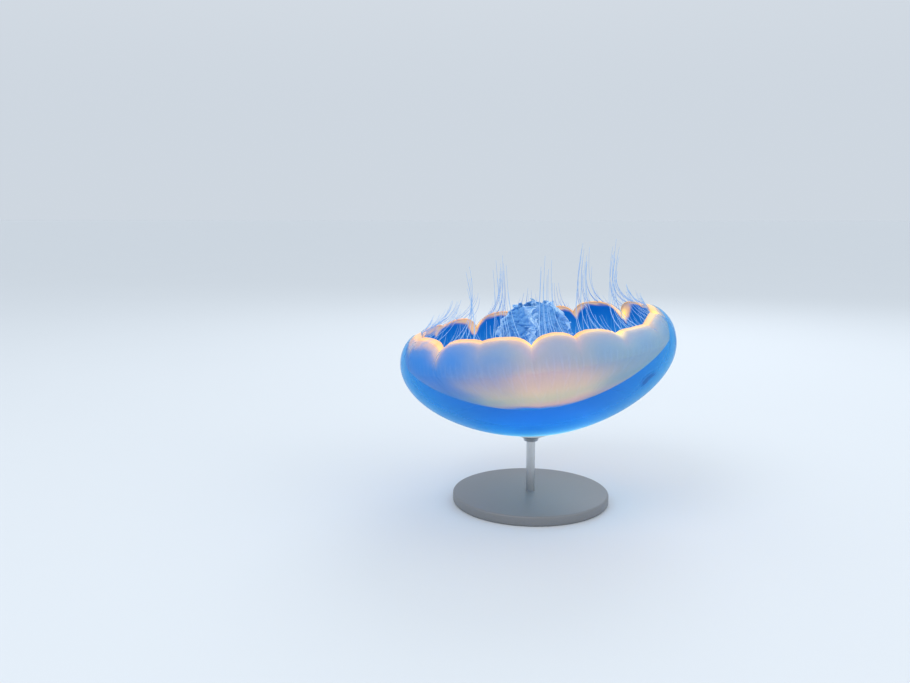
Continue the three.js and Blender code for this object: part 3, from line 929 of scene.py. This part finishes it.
class JELLYFISH_OT_gonads(bpy.types.Operator):
    """Bend a ruffled ribbon into the horseshoe of each gonad on the floor of the hollow"""

    bl_idname = "jellyfish.gonads"
    bl_label = "Gonads"

    def execute(self, context):
        for number in range(GONADS):
            deselect()
            bpy.ops.mesh.primitive_uv_sphere_add(segments=48, ring_count=260, radius=1)
            piece = new_piece(f"gonad_{number + 1}_horseshoe")
            x, y, z = vertices_of(piece).T
            along = (np.arccos(np.clip(z, -1, 1)) / math.pi) * 2 - 1
            ring = np.arctan2(y, x)
            end = np.sqrt(np.clip(1 - np.abs(along) ** 8, 0, 1))
            bow = math.radians(GONAD_SWEEP) * along
            frill = 1 + 0.1 * np.sin(19 * along + number) + 0.13 * np.sin(58 * along + ring)
            size = end * (frill + 0.05 * np.sin(121 * along + 2 * ring))
            out = GONAD_RING + GONAD_HALF_WIDTH * size * np.cos(ring)
            lx, ly = out * np.sin(bow), -GONAD_FROM_AXIS - out * np.cos(bow)
            rise = GONAD_LIFT + GONAD_HALF_HEIGHT * size * (np.sin(ring) + 1)
            turn = math.radians(FIRST_ARM + 90 * (number + 0.5))
            px = lx * math.cos(turn) - ly * math.sin(turn)
            py = lx * math.sin(turn) + ly * math.cos(turn)
            s, angle = np.hypot(px, py), np.degrees(np.arctan2(px, -py))
            floor = jelly_thickness(s) + LINING_GAP + lining_thickness(s)
            set_vertices(piece, in_model(bell_points(s, angle, floor + rise)))
            face_outwards(piece)
            finish_piece(piece, gonad_tissue(number), "gonad", f"gonad_{number + 1}")
        return {"FINISHED"}


def gonad_tissue(number):
    paint = Paint(f"gonad_tissue_{number + 1}", **{"Roughness": 0.42, "IOR": 1.38})
    place = paint.place()
    grain = paint.noise(place, 420, 4)
    blotch = paint.noise(place, 90, 3)
    colour = paint.mix(blotch.smooth(0.35, 0.65), srgb(255, 228, 216), srgb(242, 200, 194))
    paint.drive("Base Color", paint.mix(grain * 0.5, colour, (0.95, 0.88, 0.84)))
    paint.bump(grain, 0.5, 0.0005)
    return paint.material


# ---- Stand --------------------------------------------------------------------------------------------


# The rounding of the base's edges: how far in from the rim, and how far up.
BASE_ROUNDING = [(1.5, 0.0), (1.1, 0.12), (0.55, 0.55), (0.12, 1.1), (0, 1.5)]
# The rod goes on this far into the base and the cradle.
ROD_OVERLAP = 0.3


def stand_paint(name, dark, light, metallic, roughness, scale):
    """A faintly speckled finish."""
    paint = Paint(name, Metallic=metallic)
    speck = paint.noise(paint.coordinates(), scale, 5, 0.6)
    paint.drive("Base Color", paint.mix(speck, dark, light))
    paint.drive("Roughness", roughness + speck * 0.15)
    paint.bump(speck, 0.12, 0.0002)
    return paint.material


def turned_solid(name, profile, sides):
    """A solid turned round the vertical axis from pairs of radius and height, in millimetres."""
    deselect()
    radius, height = profile[0]
    bpy.ops.mesh.primitive_circle_add(vertices=sides, radius=radius * MM, location=(0, 0, height * MM))
    piece = new_piece(name)
    bpy.ops.object.transform_apply(location=True, rotation=False, scale=False)
    bpy.ops.object.mode_set(mode="EDIT")
    bpy.ops.mesh.select_all(action="SELECT")
    bpy.ops.mesh.edge_face_add()
    for (r0, z0), (r1, z1) in zip(profile, profile[1:]):
        bpy.ops.mesh.extrude_region_move(TRANSFORM_OT_translate={"value": (0, 0, (z1 - z0) * MM)})
        bpy.ops.transform.resize(value=(r1 / r0, r1 / r0, 1), center_override=(0, 0, z1 * MM))
    bpy.ops.object.mode_set(mode="OBJECT")
    face_outwards(piece)
    bpy.ops.object.shade_smooth_by_angle(angle=math.radians(32))
    return piece


class JELLYFISH_OT_stand(bpy.types.Operator):
    """Turn the round base and the rod, and finish the cradle that the CAD model cut to the bell"""

    bl_idname = "jellyfish.stand"
    bl_label = "Display stand"

    def execute(self, context):
        _, high = (Vector(corner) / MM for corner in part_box("stand_base"))
        profile = [(high.x - inset, height) for inset, height in BASE_ROUNDING]
        profile += [(high.x - inset, high.z - height) for inset, height in reversed(BASE_ROUNDING)]
        base = turned_solid("stand_base_disc", profile, 128)
        lacquer = stand_paint("grey_lacquer", (0.175, 0.185, 0.2), (0.215, 0.225, 0.24), 0.0, 0.38, 900)
        finish_piece(base, lacquer, "stand_base", "stand_base")
        low, high = (Vector(corner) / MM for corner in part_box("stand_rod"))
        levels = (low.z - ROD_OVERLAP, (low.z + high.z) / 2, high.z + ROD_OVERLAP)
        rod = turned_solid("stand_rod_round", [(high.x, level) for level in levels], 48)
        steel = stand_paint("satin_steel", (0.5, 0.51, 0.52), (0.66, 0.67, 0.68), 1.0, 0.26, 1400)
        finish_piece(rod, steel, "stand_metal", "stand_rod")
        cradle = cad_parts["stand_cradle"]
        cradle.data.materials.clear()
        cradle.data.materials.append(steel)
        return {"FINISHED"}


# ---- Stage --------------------------------------------------------------------------------------------

FLOOR_SIZE = 80
# Each lamp's name, place and width in metres, share of the main light's power, and colour.
LAMPS = (
    ("key", (-0.9, -1.2, 1.7), 1.2, 1.0, (1.0, 0.98, 0.95)),
    ("fill", (1.5, -0.7, 0.9), 1.4, 0.5, (1.0, 0.97, 0.94)),
    ("back", (0.3, 1.3, 1.2), 1.0, 0.6, (0.95, 0.97, 1.0)),
)
LAMPS_AIM = Vector((0, 0, 0.15))
CAMERA_PLACE = (0.0002, -0.77443, 0.26311)
CAMERA_DOWN = 8.3955
CAMERA_TURN = 5.2161
CAMERA_LENS = 33.9


class JELLYFISH_OT_stage(bpy.types.Operator):
    """Lay a pale floor, hang soft lights and set the camera"""

    bl_idname = "jellyfish.stage"
    bl_label = "Stage, lights and camera"

    def execute(self, context):
        settings = context.scene.jellyfish_stage
        deselect()
        bpy.ops.mesh.primitive_plane_add(size=FLOOR_SIZE)
        floor = new_piece("stage_floor")
        paint = Paint("pale_floor", Roughness=0.8)
        grain = paint.noise(paint.coordinates(), 3, 4)
        shade = tuple(0.985 * value for value in settings.floor)
        paint.drive("Base Color", paint.mix(grain, shade, settings.floor[:]))
        floor.data.materials.append(paint.material)
        for name, place, size, share, colour in LAMPS:
            self.light(name, place, size, settings.light * share, colour)
        context.scene.world = self.room(settings)
        context.scene.view_settings.view_transform = "Standard"
        camera = bpy.data.objects.new("camera", bpy.data.cameras.new("camera"))
        context.collection.objects.link(camera)
        camera.data.lens = CAMERA_LENS
        camera.data.sensor_width = 36
        camera.location = CAMERA_PLACE
        camera.rotation_euler = (math.radians(90 - CAMERA_DOWN), 0, math.radians(CAMERA_TURN))
        context.scene.camera = camera
        return {"FINISHED"}

    def room(self, settings):
        """Light from all round: brighter overhead, and as bright as the floor towards the horizon."""
        world = bpy.data.worlds.new("studio")
        world.use_nodes = True
        tree = world.node_tree
        up = tree.nodes.new("ShaderNodeSeparateXYZ")
        tree.links.new(tree.nodes.new("ShaderNodeTexCoord").outputs["Generated"], up.inputs[0])
        rise = tree.nodes.new("ShaderNodeMapRange")
        rise.interpolation_type = "SMOOTHSTEP"
        rise.inputs["From Min"].default_value, rise.inputs["From Max"].default_value = 0.1, 0.8
        tree.links.new(up.outputs["Z"], rise.inputs["Value"])
        mix = tree.nodes.new("ShaderNodeMix")
        mix.data_type = "RGBA"
        mix.inputs[6].default_value = (*settings.horizon, 1)
        mix.inputs[7].default_value = (*settings.overhead, 1)
        tree.links.new(rise.outputs[0], mix.inputs[0])
        tree.links.new(mix.outputs[2], tree.nodes["Background"].inputs["Color"])
        tree.nodes["Background"].inputs["Strength"].default_value = 1.0
        return world

    def light(self, name, place, size, power, colour):
        lamp = bpy.data.lights.new(name, "AREA")
        lamp.shape = "DISK"
        lamp.size, lamp.energy, lamp.color = size, power, colour
        held = bpy.data.objects.new(name, lamp)
        held.location = place
        held.rotation_euler = (LAMPS_AIM - Vector(place)).to_track_quat("-Z", "Y").to_euler()
        bpy.context.collection.objects.link(held)


# ---- Add-on -------------------------------------------------------------------------------------------

OPERATORS = (
    JELLYFISH_OT_bell,
    JELLYFISH_OT_lining,
    JELLYFISH_OT_tentacles,
    JELLYFISH_OT_mouth,
    JELLYFISH_OT_arms,
    JELLYFISH_OT_gonads,
    JELLYFISH_OT_stand,
    JELLYFISH_OT_stage,
)
SETTINGS = {
    "jellyfish_bell": BellSettings,
    "jellyfish_lining": LiningSettings,
    "jellyfish_tentacles": TentacleSettings,
    "jellyfish_arms": ArmSettings,
    "jellyfish_stage": StageSettings,
}


class JELLYFISH_PT_parts(bpy.types.Panel):
    """Lists the jellyfish's settings and the operators that build it"""

    bl_idname = "JELLYFISH_PT_parts"
    bl_label = "Jellyfish"
    bl_space_type = "VIEW_3D"
    bl_region_type = "UI"
    bl_category = "Jellyfish"

    def draw(self, context):
        for name, group in SETTINGS.items():
            box = self.layout.box()
            for key in group.__annotations__:
                box.prop(getattr(context.scene, name), key)
        for operator in OPERATORS:
            self.layout.operator(operator.bl_idname)


CLASSES = (*SETTINGS.values(), *OPERATORS, JELLYFISH_PT_parts)


def register():
    for cls in CLASSES:
        bpy.utils.register_class(cls)
    for name, group in SETTINGS.items():
        setattr(bpy.types.Scene, name, PointerProperty(type=group))


def unregister():
    for name in SETTINGS:
        delattr(bpy.types.Scene, name)
    for cls in reversed(CLASSES):
        bpy.utils.unregister_class(cls)


def main():
    register()
    for operator in OPERATORS:
        group, name = operator.bl_idname.split(".")
        getattr(getattr(bpy.ops, group), name)()


if __name__ == "__main__":
    main()
